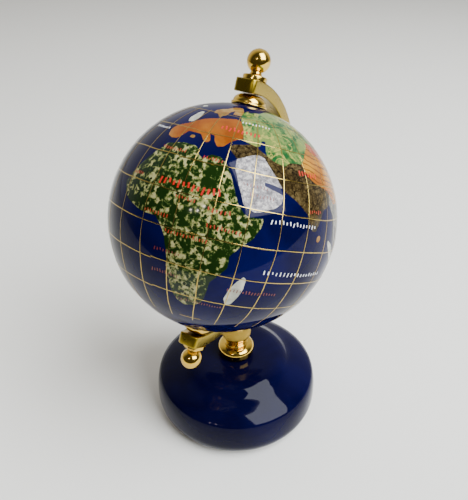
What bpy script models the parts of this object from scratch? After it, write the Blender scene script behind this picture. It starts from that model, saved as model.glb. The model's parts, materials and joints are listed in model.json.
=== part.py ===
# A desk globe of inlaid stones. A dark blue sphere turns about a tilted axis inside a C-shaped brass arm,
# and the arm stands on a turned brass stem over a round, glossy blue base.
# The origin is the centre of the base's underside, +Z is up, and the north pole leans towards +X.

import math

import bmesh
import bpy
from mathutils import Vector

MM = 0.001
CLEARANCE = 0.3 * MM

GLOBE_RADIUS = 40.0 * MM
AXIS_TILT = math.radians(25.0)
STONE_THICKNESS = 2.4 * MM
ARM_LONGITUDE = -173.8

ARM_GAP = 3.8 * MM
ARM_THICKNESS = 4.45 * MM
ARM_WIDTH = 7.9 * MM
ARM_OVERHANG = 6.5 * MM
ARM_CORNER = 1.6 * MM
ARM_EDGE = 0.35 * MM

BASE_RADIUS = 35.9 * MM
BASE_HEIGHT = 27.2 * MM
FOOT_RADIUS = 28.5 * MM
RIM_WIDEST_HEIGHT = 8.0 * MM
DOME_RADIUS = 22.6 * MM
DOME_EDGE_HEIGHT = 24.6 * MM
DOME_FULLNESS = 8.0
LEDGE_RADIUS = 28.0 * MM
LEDGE_HEIGHT = 21.9 * MM
SHOULDER_RADIUS = 34.1 * MM
SHOULDER_HEIGHT = 18.6 * MM

STEM_OFFSET = 9.2 * MM
STEM_HEIGHT = 25.4 * MM
FLANGE_RADIUS = 7.95 * MM
FLANGE_FOOT_RADIUS = 7.2 * MM
FLANGE_WIDEST_HEIGHT = 2.9 * MM
FLANGE_CROWN_RADIUS = 4.7 * MM
NECK_RADIUS = 4.3 * MM
NECK_HEIGHT = 5.6 * MM
BEAD_RADIUS = 5.0 * MM
BEAD_THICKNESS = 1.0 * MM
CUP_LENGTH = 17.2 * MM
CUP_TAPER_HEIGHT = 4.9 * MM
CUP_BELLY_RADIUS = 6.35 * MM
CUP_FLARE = 3.0
CUP_LIP_RADIUS = 7.9 * MM
CUP_LIP_THICKNESS = 1.0 * MM
SADDLE_RADIUS = 3.6 * MM

FINIAL_BALL_RADIUS = 4.05 * MM
FINIAL_BALL_HEIGHT = 6.1 * MM
FINIAL_NECK_RADIUS = 1.9 * MM
FINIAL_COLLAR_RADIUS = 4.2 * MM
FINIAL_COLLAR_THICKNESS = 1.2 * MM
FINIAL_COLLAR_BEVEL = 0.4 * MM

CAP_RADIUS = 6.3 * MM
CAP_EDGE_THICKNESS = 1.1 * MM
CAP_TOP_RADIUS = 2.0 * MM

TURNED_STEPS = 20
BASE_STEPS = 28
DOME_STEPS = 5
RIM_STEPS = 4
CORNER_STEPS = 3
SMALL_CORNER_STEPS = 2
BALL_STEPS = 7
BARREL_STEPS = 192
ARM_STEPS = 24
SKIN_STEPS = 32
POCKET_STEPS = 12

# Each stone is (name, colour, outline), and an outline's points are (longitude, latitude) in degrees.
# Neighbouring stones share their border points, and the clearance between them is taken off both.
GREEN_AND_CREAM = (0.20, 0.25, 0.14)
BURNT_ORANGE = (0.62, 0.30, 0.13)
PALE_TAN = (0.66, 0.45, 0.28)
PEARL = (0.78, 0.79, 0.74)
JADE = (0.24, 0.38, 0.22)
OLIVE_BROWN = (0.24, 0.19, 0.12)
LILAC_GREY = (0.56, 0.55, 0.62)
GOLDEN = (0.74, 0.42, 0.10)
ROSE = (0.62, 0.28, 0.24)
PEBBLE_GREY = (0.42, 0.41, 0.38)
STONES = [
    ("africa", GREEN_AND_CREAM, [
        (-6, 32), (-4, 34.5), (5, 36.5), (12, 36.5), (14.5, 35), (16, 32.5), (19, 31), (22, 34), (27, 34),
        (30.5, 31.5), (33.5, 27.5), (37.5, 19.5), (40, 15.5), (43, 12.3), (45, 11.3), (51.5, 12), (51, 8),
        (48.5, 3), (44.5, -1), (40.5, -6), (41, -11), (38.5, -15), (35, -19), (35, -24), (33.5, -31),
        (30, -34.5), (24, -36), (20, -33), (17, -27), (14.5, -18), (14, -10), (12, -4), (9, 0), (6, 3),
        (-4, 3), (-11, 5), (-16, 8), (-18.5, 12), (-16.5, 16), (-14, 20), (-11, 25.5),
    ]),
    ("madagascar", PEARL, [
        (49, -13.5), (50.5, -15), (50.5, -20), (49, -25), (47.5, -29), (45, -30), (43, -26), (44, -21),
        (46.5, -17),
    ]),
    ("arabia", LILAC_GREY, [
        (35, 34.7), (38.3, 36.3), (42, 38), (45.5, 38.7), (48.8, 37.8), (51.6, 34.7), (54.8, 31.5),
        (58, 27.2), (59.3, 25.9), (54, 26.6), (49.8, 27), (50, 25.5), (54.2, 24.6), (60, 23.3), (59, 19.6),
        (56, 17), (53, 16), (50, 14.4), (47, 13.6), (44, 14.7), (42, 15.7), (40.5, 18.7), (38.5, 22.5),
        (36.8, 26.7), (35.4, 30),
    ]),
    ("europe", BURNT_ORANGE, [
        (-9, 38.5), (-11, 42), (-9.5, 45), (-3, 48), (0.5, 50.5), (5, 53), (14, 55.5), (21, 57), (27, 58),
        (32, 57), (35, 52), (36.3, 46), (33, 44.5), (30, 42.5), (26.5, 39), (23, 38), (20.5, 40.5),
        (19, 43.5), (16, 44), (17.5, 41.5), (18, 40), (16, 38.8), (14, 40), (11, 43), (3, 43), (1, 40),
        (-1, 38), (-5, 37.5),
    ]),
    ("sardinia", PALE_TAN, [
        (6, 39.8), (6.3, 41.5), (8.8, 41.6), (9, 39.9),
    ]),
    ("scandinavia", PALE_TAN, [
        (6, 59), (5, 62), (13, 66), (19, 70), (28, 71), (31, 66), (30, 61.5), (22, 61), (23, 65.5),
        (19, 63), (18, 59.5), (13, 56.5), (10, 59),
    ]),
    ("britain", PEARL, [
        (-5, 49), (-7.5, 52), (-7, 55.5), (-6, 57.5), (-3, 58.5), (-0.5, 55), (-0.5, 52), (-1, 50),
    ]),
    ("iceland", PEARL, [
        (-21, 64.5), (-18, 66), (-11, 64.5), (-16, 62.8),
    ]),
    ("russia", JADE, [
        (30, 61.5), (31, 66), (40, 67), (52, 69.5), (68, 74), (86, 75.5), (104, 78), (115, 74), (140, 73),
        (160, 70.5), (178, 69.5), (189, 66), (178, 62.5), (164, 60), (160, 53), (156, 59), (143, 59.5),
        (136, 54.5), (140, 49), (132, 43), (130, 48), (120, 52), (109, 50), (103, 50.5), (97, 52.3),
        (90, 53), (87, 50), (82, 46.5), (77, 41.6), (73.5, 39), (64.5, 38.6), (61.5, 36.5), (54, 37.5),
        (50, 39.5), (49.5, 41.6), (49.3, 46.8), (47, 46.8), (46.3, 43.5), (44, 42.7), (41, 43.4),
        (38, 44.2), (36.3, 46), (35, 52), (32, 57),
    ]),
    ("persia_and_india", OLIVE_BROWN, [
        (30, 39.5), (32, 41.7), (36, 42.3), (41, 43.4), (44, 42.7), (47.3, 40.8), (50, 39.5), (54, 37.5),
        (61.5, 36.5), (64.5, 38.6), (73.5, 39), (75, 35), (78, 32.5), (82.5, 31), (90.5, 29), (95, 27),
        (93, 22), (87, 19), (83.5, 14), (80.5, 9), (78, 9.5), (74, 16.8), (68, 21.5), (60.7, 24.8),
        (59.3, 25.9), (58, 27.2), (54.8, 31.5), (51.6, 34.7), (48.8, 37.8), (45.5, 38.7), (42, 38),
        (38.3, 36.3), (35, 34.7), (31.5, 37.7),
    ]),
    ("china", GOLDEN, [
        (73.5, 39), (77, 41.6), (82, 46.5), (87, 50), (92, 46), (97.5, 43.4), (106, 43), (112, 43.5),
        (119, 47), (120, 52), (130, 48), (132, 43), (126, 38), (122, 37), (122, 30), (114, 22), (106, 22),
        (100, 22), (95, 27), (90.5, 29), (82.5, 31), (78, 32.5), (75, 35),
    ]),
    ("mongolia", ROSE, [
        (87, 50), (90, 53), (97, 52.3), (103, 50.5), (109, 50), (120, 52), (119, 47), (112, 43.5),
        (106, 43), (97.5, 43.4), (92, 46),
    ]),
    ("southeast_asia", PEBBLE_GREY, [
        (95, 27), (100, 22), (106, 22), (109, 14), (106, 9.5), (101, 12), (103, 2), (99, 8), (97, 16),
        (93, 22),
    ]),
    ("japan", ROSE, [
        (130, 32), (131.5, 35), (137, 37.5), (140, 42), (142.5, 45), (145, 43.5), (141.5, 38),
        (140.5, 35.5), (135, 33.5),
    ]),
    ("sri_lanka", PALE_TAN, [
        (82, 5), (82, 7), (83.5, 8), (85, 7), (84, 5),
    ]),
    ("sumatra_and_java", PEARL, [
        (93, 6), (99, 3), (105, -3), (114, -7), (114, -9), (105, -7), (101, -3), (96, 1), (93, 4),
    ]),
    ("borneo", PALE_TAN, [
        (109, 1.5), (115, 6.5), (119, 4), (116.5, -3), (111, -3),
    ]),
    ("philippines", JADE, [
        (120, 18), (122.5, 18), (126.5, 8), (123, 7.5), (121, 13),
    ]),
    ("new_guinea", GREEN_AND_CREAM, [
        (131, -1), (138, -1.5), (147, -6), (150, -10.5), (143, -8.5), (138, -7.5),
    ]),
    ("australia", ROSE, [
        (114, -22), (122, -18), (129, -14.5), (136, -12), (139, -17), (142.5, -11), (147, -19),
        (153, -27), (150, -37), (143, -39), (137, -34), (129, -32), (117, -35),
    ]),
    ("new_zealand", JADE, [
        (173, -35), (178.5, -38), (175, -41.5), (169, -46.5), (167, -45), (172, -40.5),
    ]),
    ("greenland", PEARL, [
        (-45, 60), (-38, 65.5), (-23, 70.5), (-20, 76), (-30, 82.5), (-55, 81.5), (-68, 77), (-54, 70),
        (-52, 64),
    ]),
    ("alaska", PALE_TAN, [
        (-141, 60), (-152, 59.5), (-163, 55), (-158, 59), (-165, 62), (-167, 67.5), (-156, 71), (-141, 69.5),
    ]),
    ("canada", BURNT_ORANGE, [
        (-141, 60), (-141, 69.5), (-125, 70.5), (-110, 74), (-90, 75), (-72, 72), (-63, 66), (-72, 62),
        (-64, 58), (-55.5, 52), (-62, 46), (-68, 46), (-75, 44), (-83, 43.5), (-88, 48.5), (-96, 49),
        (-123, 49), (-130, 54.5),
    ]),
    ("united_states", LILAC_GREY, [
        (-123, 49), (-96, 49), (-88, 48.5), (-83, 43.5), (-75, 44), (-68, 46), (-70, 42), (-76, 35.5),
        (-81, 31), (-80.5, 25.5), (-84, 30), (-93, 29.5), (-97.5, 26.5), (-104, 30), (-112, 32),
        (-117.5, 33), (-124, 40),
    ]),
    ("mexico", GOLDEN, [
        (-117.5, 33), (-112, 32), (-104, 30), (-97.5, 26.5), (-97, 20), (-92, 19), (-88, 21), (-88, 16),
        (-83.5, 14.5), (-82, 9.5), (-78.5, 9), (-80, 7), (-86, 11), (-94, 15.5), (-105, 20), (-111, 27),
    ]),
    ("cuba", PALE_TAN, [
        (-84.5, 22), (-80, 23.5), (-73, 20), (-70, 19.5), (-72, 18), (-78, 20.5),
    ]),
    ("brazil", JADE, [
        (-60, 5), (-51, 4.5), (-48, 0), (-36, -5), (-36, -11), (-40, -20), (-48, -27.5), (-53, -33),
        (-58, -28), (-58, -20), (-66, -11), (-72, -6), (-66, 1),
    ]),
    ("andes", OLIVE_BROWN, [
        (-78, 7.5), (-72, 12), (-60, 9.5), (-51, 4.5), (-60, 5), (-66, 1), (-72, -6), (-66, -11),
        (-58, -20), (-68, -23), (-70.5, -28), (-72, -18), (-77, -12), (-81, -4), (-78.5, 2),
    ]),
    ("argentina", PEBBLE_GREY, [
        (-70.5, -28), (-68, -23), (-58, -20), (-58, -28), (-53, -33), (-58, -38), (-65, -43),
        (-68, -52), (-73, -53), (-74, -42),
    ]),
    ("antarctica", PEARL, [
        (-60, -64), (-62, -73), (-30, -76), (0, -70), (50, -67), (90, -66.5), (135, -66.5), (165, -71),
        (170, -77), (-150, -76), (-100, -73), (-74, -72),
    ]),
]

arm_inner_radius = GLOBE_RADIUS + ARM_GAP
arm_outer_radius = arm_inner_radius + ARM_THICKNESS
stem_foot_height = BASE_HEIGHT + CLEARANCE
arm_drop_at_stem = math.sqrt(arm_outer_radius**2 - STEM_OFFSET**2)
globe_height = BASE_HEIGHT + STEM_HEIGHT + arm_drop_at_stem
pocket_floor_radius = GLOBE_RADIUS - STONE_THICKNESS
cutter_reach = 1.7 * GLOBE_RADIUS
cutter_depth = 0.7 * GLOBE_RADIUS


def clear_scene():
    for old in list(bpy.data.objects):
        bpy.data.objects.remove(old, do_unlink=True)


def new_collection(name):
    collection = bpy.data.collections.new(name)
    bpy.context.scene.collection.children.link(collection)
    return collection


def new_material(name, colour, roughness, metallic=0.0):
    material = bpy.data.materials.new(name)
    material.use_nodes = True
    shader = material.node_tree.nodes["Principled BSDF"]
    shader.inputs["Base Color"].default_value = (*colour, 1.0)
    shader.inputs["Roughness"].default_value = roughness
    shader.inputs["Metallic"].default_value = metallic
    material.diffuse_color = (*colour, 1.0)
    return material


def new_object(name, mesh, collection, parent=None):
    thing = bpy.data.objects.new(name, mesh)
    collection.objects.link(thing)
    thing.parent = parent
    return thing


def shade_round(mesh, sharp_degrees=35.0):
    mesh.shade_smooth()
    mesh.set_sharp_from_angle(angle=math.radians(sharp_degrees))


def hide_cutter(thing):
    thing.hide_render = True
    thing.display_type = "WIRE"


def add_boolean(thing, operation, other):
    cut = thing.modifiers.new(other.name, "BOOLEAN")
    cut.operation = operation
    cut.solver = "EXACT"
    cut.object = other
    return cut


def ellipse_arc(centre, radii, start_degrees, end_degrees, steps):
    """Points (radius, height) along an ellipse, from one angle to another, both ends included."""
    points = []
    for step in range(steps + 1):
        angle = math.radians(start_degrees + (end_degrees - start_degrees) * step / steps)
        points.append((centre[0] + radii[0] * math.cos(angle), centre[1] + radii[1] * math.sin(angle)))
    return points


def sweep(start, leaving, arriving, end, steps):
    """Points on a smooth curve between two ends. It leaves and arrives along the two given steps, in mm."""
    first = (start[0] + leaving[0] * MM, start[1] + leaving[1] * MM)
    second = (end[0] - arriving[0] * MM, end[1] - arriving[1] * MM)
    points = []
    for step in range(steps + 1):
        share = step / steps
        rest = 1.0 - share
        weights = (rest**3, 3.0 * rest**2 * share, 3.0 * rest * share**2, share**3)
        points.append(tuple(
            sum(weight * point[axis] for weight, point in zip(weights, (start, first, second, end)))
            for axis in range(2)
        ))
    return points


def without_repeats(profile):
    kept = []
    for point in profile:
        if not kept or math.dist(kept[-1], point) > 0.01 * MM:
            kept.append(point)
    return kept


def turned(name, profile, steps, collection, parent=None):
    """A lathe-turned piece. The profile runs down its outer side, from the top of the axis to its foot."""
    mesh = bpy.data.meshes.new(name)
    points = without_repeats(profile)
    vertices = [(radius, 0.0, height) for radius, height in points]
    edges = [(index, index + 1) for index in range(len(points) - 1)]
    mesh.from_pydata(vertices, edges, [])
    thing = new_object(name, mesh, collection, parent)
    screw = thing.modifiers.new("turning", "SCREW")
    screw.axis = "Z"
    screw.steps = steps
    screw.render_steps = steps
    screw.use_merge_vertices = True
    screw.merge_threshold = 0.01 * MM
    screw.use_smooth_shade = True
    return thing


def axis_empty(name, height, tilt, collection):
    empty = new_object(name, None, collection)
    empty.location = (-STEM_OFFSET, 0.0, height)
    empty.rotation_euler = (0.0, tilt, 0.0)
    return empty


def base_profile():
    """A flat dome with a rolled edge, a cove that slopes down to a ledge, a full shoulder and a rounded foot."""
    dome_rise = BASE_HEIGHT - DOME_EDGE_HEIGHT
    dome = []
    for step in range(DOME_STEPS + 1):
        share = math.sin(math.radians(90.0 * step / DOME_STEPS))
        dome.append((DOME_RADIUS * share, DOME_EDGE_HEIGHT + dome_rise * (1.0 - share**DOME_FULLNESS)))
    dome_edge = (DOME_RADIUS, DOME_EDGE_HEIGHT)
    ledge = (LEDGE_RADIUS, LEDGE_HEIGHT)
    shoulder = (SHOULDER_RADIUS, SHOULDER_HEIGHT)
    widest = (BASE_RADIUS, RIM_WIDEST_HEIGHT)
    cove = sweep(dome_edge, (1.4, -1.3), (1.8, -0.73), ledge, CORNER_STEPS)
    slope = sweep(ledge, (2.2, -0.9), (1.5, -1.5), shoulder, CORNER_STEPS)
    side = sweep(shoulder, (1.1, -1.1), (0.0, -5.2), widest, RIM_STEPS)
    lower_radii = (BASE_RADIUS - FOOT_RADIUS, RIM_WIDEST_HEIGHT)
    lower = ellipse_arc((FOOT_RADIUS, RIM_WIDEST_HEIGHT), lower_radii, 0, -90, CORNER_STEPS)
    return dome + cove + slope + side + lower + [(0.0, 0.0)]


def make_base(collection):
    base = turned("base", base_profile(), BASE_STEPS, collection)
    base.data.materials.append(new_material("deep_blue_gloss", (0.010, 0.012, 0.085), 0.12))


def stem_profile():
    bead_height = NECK_HEIGHT + BEAD_THICKNESS / 2.0
    cup_foot = NECK_HEIGHT + BEAD_THICKNESS
    belly = (CUP_BELLY_RADIUS, cup_foot + CUP_TAPER_HEIGHT)
    cup_top = cup_foot + CUP_LENGTH
    lip_middle = cup_top - CUP_LIP_THICKNESS / 2.0
    flare_rise = lip_middle - CUP_LIP_THICKNESS - belly[1]
    flare = []
    for step in range(CORNER_STEPS + 1):
        share = step / CORNER_STEPS
        widening = (CUP_LIP_RADIUS - CUP_LIP_THICKNESS / 2.0 - CUP_BELLY_RADIUS) * share**CUP_FLARE
        flare.append((belly[0] + widening, belly[1] + flare_rise * share))
    lip_centre = (CUP_LIP_RADIUS - CUP_LIP_THICKNESS / 2.0, lip_middle)
    lip_radii = (CUP_LIP_THICKNESS / 2.0, CUP_LIP_THICKNESS / 2.0)
    lip = ellipse_arc(lip_centre, lip_radii, 90, -60, CORNER_STEPS)
    taper = sweep(belly, (-0.25, -1.4), (-0.4, -1.5), (NECK_RADIUS, cup_foot), CORNER_STEPS + 1)
    bead_radii = (BEAD_RADIUS - NECK_RADIUS, BEAD_THICKNESS / 2.0)
    crown_centre = (FLANGE_CROWN_RADIUS, FLANGE_WIDEST_HEIGHT)
    crown_radii = (FLANGE_RADIUS - FLANGE_CROWN_RADIUS, NECK_HEIGHT - FLANGE_WIDEST_HEIGHT)
    foot_radii = (FLANGE_RADIUS - FLANGE_FOOT_RADIUS, FLANGE_WIDEST_HEIGHT)
    profile = [(0.0, STEM_HEIGHT + ARM_THICKNESS), (SADDLE_RADIUS, STEM_HEIGHT + ARM_THICKNESS)]
    profile += [(SADDLE_RADIUS, cup_top)]
    profile += lip
    profile += list(reversed(flare))
    profile += taper
    profile += ellipse_arc((NECK_RADIUS, bead_height), bead_radii, 90, -90, CORNER_STEPS)
    profile += ellipse_arc(crown_centre, crown_radii, 90, 0, CORNER_STEPS + 1)
    foot_centre = (FLANGE_FOOT_RADIUS, FLANGE_WIDEST_HEIGHT)
    profile += ellipse_arc(foot_centre, foot_radii, 0, -90, SMALL_CORNER_STEPS)
    return profile + [(0.0, 0.0)]


def make_stem(collection, cutters, brass, arm_axis):
    """The stem's top is a saddle, cut to the arm's outer curve."""
    stem = turned("stem", stem_profile(), TURNED_STEPS, collection)
    stem.location = (0.0, 0.0, stem_foot_height)
    stem.data.materials.append(brass)
    bpy.ops.mesh.primitive_cylinder_add(vertices=BARREL_STEPS, radius=arm_outer_radius + CLEARANCE,
                                        depth=4 * ARM_WIDTH)
    barrel = bpy.context.object
    barrel.name = "saddle_cutter"
    for owner in list(barrel.users_collection):
        owner.objects.unlink(barrel)
    cutters.objects.link(barrel)
    barrel.parent = arm_axis
    barrel.rotation_euler = (math.radians(90.0), 0.0, 0.0)
    hide_cutter(barrel)
    add_boolean(stem, "DIFFERENCE", barrel)


def arm_outline():
    """The C of the arm, seen from its side: x is away from the pole axis, y is along it."""
    middle_radius = (arm_inner_radius + arm_outer_radius) / 2.0
    half_angle = math.pi / 2.0 + ARM_OVERHANG / middle_radius
    angles = [-half_angle + 2.0 * half_angle * step / ARM_STEPS for step in range(ARM_STEPS + 1)]
    outer = [(arm_outer_radius * math.cos(a), arm_outer_radius * math.sin(a)) for a in angles]
    inner = [(arm_inner_radius * math.cos(a), arm_inner_radius * math.sin(a)) for a in reversed(angles)]
    return outer + inner


def make_arm(collection, brass, arm_axis):
    outline = arm_outline()
    curve = bpy.data.curves.new("arm_outline", "CURVE")
    curve.dimensions = "2D"
    curve.fill_mode = "BOTH"
    curve.extrude = ARM_WIDTH / 2.0
    spline = curve.splines.new("POLY")
    spline.points.add(len(outline) - 1)
    for point, (across, along) in zip(spline.points, outline):
        point.co = (across, along, 0.0, 1.0)
    spline.use_cyclic_u = True
    flat = bpy.data.objects.new("arm_outline", curve)
    collection.objects.link(flat)
    graph = bpy.context.evaluated_depsgraph_get()
    mesh = bpy.data.meshes.new_from_object(flat.evaluated_get(graph))
    mesh.name = "meridian_arm"
    bpy.data.objects.remove(flat, do_unlink=True)
    form = bmesh.new()
    form.from_mesh(mesh)
    bmesh.ops.remove_doubles(form, verts=form.verts, dist=0.001 * MM)
    bmesh.ops.dissolve_limit(form, angle_limit=math.radians(1.0), verts=form.verts, edges=form.edges)
    end_edges = [edge for edge in form.edges if is_end_corner(edge)]
    bmesh.ops.bevel(form, geom=end_edges, offset=ARM_CORNER, segments=CORNER_STEPS, profile=0.5, affect="EDGES")
    bmesh.ops.recalc_face_normals(form, faces=form.faces)
    form.to_mesh(mesh)
    form.free()
    shade_round(mesh)
    mesh.materials.clear()
    mesh.materials.append(brass)
    arm = new_object("meridian_arm", mesh, collection, arm_axis)
    arm.rotation_euler = (math.radians(90.0), 0.0, 0.0)
    bevel = arm.modifiers.new("eased_edges", "BEVEL")
    bevel.width = ARM_EDGE
    bevel.segments = 1
    bevel.limit_method = "ANGLE"
    bevel.angle_limit = math.radians(60.0)


def is_end_corner(edge):
    """True for the four edges that run from the arm's inner face to its outer face at its two ends."""
    first, second = (vertex.co for vertex in edge.verts)
    flat_edge = abs(first.z - second.z) < 0.01 * MM
    across_bar = abs((first.xy.length - second.xy.length)) > 0.9 * ARM_THICKNESS
    return flat_edge and across_bar


def finial_profile():
    ball = (0.0, FINIAL_BALL_HEIGHT)
    ball_radii = (FINIAL_BALL_RADIUS, FINIAL_BALL_RADIUS)
    neck_angle = -math.degrees(math.acos(FINIAL_NECK_RADIUS / FINIAL_BALL_RADIUS))
    profile = ellipse_arc(ball, ball_radii, 90, neck_angle, BALL_STEPS)
    bevel_radius = FINIAL_COLLAR_RADIUS - FINIAL_COLLAR_BEVEL
    flare_radius = FINIAL_NECK_RADIUS + (profile[-1][1] - FINIAL_COLLAR_THICKNESS)
    flare_radii = (flare_radius - FINIAL_NECK_RADIUS, profile[-1][1] - FINIAL_COLLAR_THICKNESS)
    profile += ellipse_arc((flare_radius, profile[-1][1]), flare_radii, 180, 270, CORNER_STEPS)
    profile += [(bevel_radius, FINIAL_COLLAR_THICKNESS)]
    profile += [(FINIAL_COLLAR_RADIUS, FINIAL_COLLAR_THICKNESS - FINIAL_COLLAR_BEVEL)]
    return profile + [(FINIAL_COLLAR_RADIUS, 0.0), (0.0, 0.0)]


def cap_profile():
    """A flattened dome whose underside follows the globe. Its top clears the arm's inner face."""
    seat_radius = GLOBE_RADIUS + CLEARANCE
    edge_angle = math.asin(CAP_RADIUS / seat_radius)
    edge_height = seat_radius * math.cos(edge_angle)
    top_height = arm_inner_radius * math.cos(math.asin(CAP_TOP_RADIUS / arm_inner_radius)) - CLEARANCE
    roll_height = edge_height + CAP_EDGE_THICKNESS / 2.0
    roll_centre = (CAP_RADIUS - CAP_EDGE_THICKNESS / 2.0, roll_height)
    roll_radii = (CAP_EDGE_THICKNESS / 2.0, CAP_EDGE_THICKNESS / 2.0)
    dome_radii = (roll_centre[0] - CAP_TOP_RADIUS, top_height - roll_height - roll_radii[1])
    profile = [(0.0, top_height)]
    profile += ellipse_arc((CAP_TOP_RADIUS, top_height - dome_radii[1]), dome_radii, 90, 0, CORNER_STEPS)
    profile += ellipse_arc(roll_centre, roll_radii, 60, -60, CORNER_STEPS)
    under_angle = math.asin((roll_centre[0]) / seat_radius)
    for step in range(SMALL_CORNER_STEPS + 1):
        angle = under_angle * (1.0 - step / SMALL_CORNER_STEPS)
        profile.append((seat_radius * math.sin(angle), seat_radius * math.cos(angle)))
    return profile


def make_poles(collection, brass, arm_axis, globe_axis):
    """A brass cap and a ball finial at each pole. The southern pair is turned over."""
    finial_shape = finial_profile()
    cap_shape = cap_profile()
    seat = arm_outer_radius + CLEARANCE
    for pole, side, turn in (("north", 1.0, 0.0), ("south", -1.0, math.pi)):
        cap = turned(f"{pole}_polar_cap", cap_shape, TURNED_STEPS, collection, globe_axis)
        cap.rotation_euler = (turn, 0.0, 0.0)
        finial = turned(f"{pole}_finial", finial_shape, TURNED_STEPS, collection, arm_axis)
        finial.location = (0.0, 0.0, side * seat)
        finial.rotation_euler = (turn, 0.0, 0.0)
        for piece in (cap, finial):
            piece.data.materials.append(brass)


def on_sphere(longitude, latitude):
    """A unit vector in the globe's own frame, whose +Z is the north pole and whose +X faces the arm."""
    across = math.radians(longitude - ARM_LONGITUDE)
    up = math.radians(latitude)
    return Vector((math.cos(up) * math.cos(across), math.cos(up) * math.sin(across), math.sin(up)))


def facing_out(outline):
    """The outline's unit vectors, anticlockwise as seen from outside the globe."""
    points = [on_sphere(longitude, latitude) for longitude, latitude in outline]
    centre = sum(points, Vector((0.0, 0.0, 0.0)))
    turning = Vector((0.0, 0.0, 0.0))
    for index, point in enumerate(points):
        turning += points[index - 1].cross(point)
    return points if turning.dot(centre) > 0.0 else points[::-1]


def grown(points, distance):
    """The outline moved outwards over the globe's surface by a distance, or inwards by a negative one."""
    angle = distance / GLOBE_RADIUS
    moved = []
    for index, point in enumerate(points):
        before = point.cross(points[index - 1]).normalized()
        after = points[(index + 1) % len(points)].cross(point).normalized()
        spread = max(1.0 + before.dot(after), 0.4)
        moved.append((point + (before + after) * (angle / spread)).normalized())
    return moved


def wedge(name, points, depth, reach, collection, parent):
    """A closed wedge through an outline on the globe, between two distances from the globe's centre."""
    form = bmesh.new()
    low = [form.verts.new(point * depth) for point in points]
    high = [form.verts.new(point * reach) for point in points]
    form.faces.new(high)
    form.faces.new(low[::-1])
    for index in range(len(points)):
        form.faces.new((low[index - 1], low[index], high[index], high[index - 1]))
    caps = [face for face in form.faces if len(face.verts) > 4 or face.verts[0] in low and face.verts[-1] in low]
    bmesh.ops.triangulate(form, faces=caps)
    bmesh.ops.recalc_face_normals(form, faces=form.faces)
    mesh = bpy.data.meshes.new(name)
    form.to_mesh(mesh)
    form.free()
    return new_object(name, mesh, collection, parent)


def sphere(name, radius, steps, collection, parent):
    form = bmesh.new()
    bmesh.ops.create_uvsphere(form, u_segments=steps, v_segments=steps // 2, radius=radius)
    mesh = bpy.data.meshes.new(name)
    form.to_mesh(mesh)
    form.free()
    return new_object(name, mesh, collection, parent)


def make_globe(collection, cutters, globe_axis):
    """The blue sphere, with a pocket for each stone, and the stones, flush with its surface."""
    skin = sphere("stone_skin_guide", GLOBE_RADIUS, SKIN_STEPS, cutters, globe_axis)
    backs = sphere("stone_back_cutter", pocket_floor_radius + CLEARANCE, POCKET_STEPS, cutters, globe_axis)
    floors = sphere("pocket_floors", pocket_floor_radius, POCKET_STEPS, cutters, globe_axis)
    pockets = bpy.data.collections.new("pocket_cutters")
    cutters.children.link(pockets)
    for guide in (skin, backs, floors):
        hide_cutter(guide)
    for name, colour, outline in STONES:
        points = facing_out(outline)
        stone = wedge(f"stone_{name}", grown(points, -CLEARANCE / 2.0), cutter_depth, cutter_reach,
                      collection, globe_axis)
        add_boolean(stone, "INTERSECT", skin)
        add_boolean(stone, "DIFFERENCE", backs)
        stone.data.materials.append(new_material(f"{name}_stone", colour, 0.15))
        pocket = wedge(f"pocket_{name}", grown(points, CLEARANCE / 2.0), cutter_depth, cutter_reach,
                       pockets, globe_axis)
        hide_cutter(pocket)
    ocean = sphere("ocean_sphere", GLOBE_RADIUS, SKIN_STEPS, collection, globe_axis)
    ocean.data.materials.append(new_material("ocean_blue", (0.008, 0.010, 0.110), 0.10))
    cut = ocean.modifiers.new("pockets", "BOOLEAN")
    cut.operation = "DIFFERENCE"
    cut.solver = "EXACT"
    cut.operand_type = "COLLECTION"
    cut.collection = pockets
    add_boolean(ocean, "UNION", floors)
    shade_round(ocean.data)


def main():
    clear_scene()
    collection = new_collection("stone_globe")
    cutters = new_collection("cutters")
    cutters.hide_render = True
    brass = new_material("polished_brass", (0.83, 0.60, 0.24), 0.16, 1.0)
    arm_axis = axis_empty("arm_axis", globe_height, AXIS_TILT, collection)
    globe_axis = axis_empty("globe_axis", globe_height, AXIS_TILT, collection)
    make_base(collection)
    make_stem(collection, cutters, brass, arm_axis)
    make_arm(collection, brass, arm_axis)
    make_poles(collection, brass, arm_axis, globe_axis)
    make_globe(collection, cutters, globe_axis)


main()
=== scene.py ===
# Gemstone desk globe: the finished look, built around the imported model.
# Metres, +Z up. The globe turns with the body "globe", and everything else stands still with "stand".

import json
import math

import bmesh
import bpy
import numpy as np
from mathutils import Matrix, Vector, noise
from mathutils.geometry import delaunay_2d_cdt


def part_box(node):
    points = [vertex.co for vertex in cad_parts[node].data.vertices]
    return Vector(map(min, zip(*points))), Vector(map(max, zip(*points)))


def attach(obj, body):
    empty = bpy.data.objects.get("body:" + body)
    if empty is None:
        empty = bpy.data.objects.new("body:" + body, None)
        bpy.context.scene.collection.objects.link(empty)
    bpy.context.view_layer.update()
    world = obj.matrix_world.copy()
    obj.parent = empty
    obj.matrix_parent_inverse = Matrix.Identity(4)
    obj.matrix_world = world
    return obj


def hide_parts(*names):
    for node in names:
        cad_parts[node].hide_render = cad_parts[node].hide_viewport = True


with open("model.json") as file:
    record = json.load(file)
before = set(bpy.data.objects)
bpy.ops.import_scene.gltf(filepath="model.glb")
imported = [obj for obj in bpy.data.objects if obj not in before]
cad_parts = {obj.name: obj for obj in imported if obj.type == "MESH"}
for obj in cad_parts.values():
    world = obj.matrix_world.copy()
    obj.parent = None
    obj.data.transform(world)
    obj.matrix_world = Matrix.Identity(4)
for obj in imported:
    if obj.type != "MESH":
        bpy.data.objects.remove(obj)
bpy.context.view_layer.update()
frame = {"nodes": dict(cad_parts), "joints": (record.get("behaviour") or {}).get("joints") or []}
mm = 0.001

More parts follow.
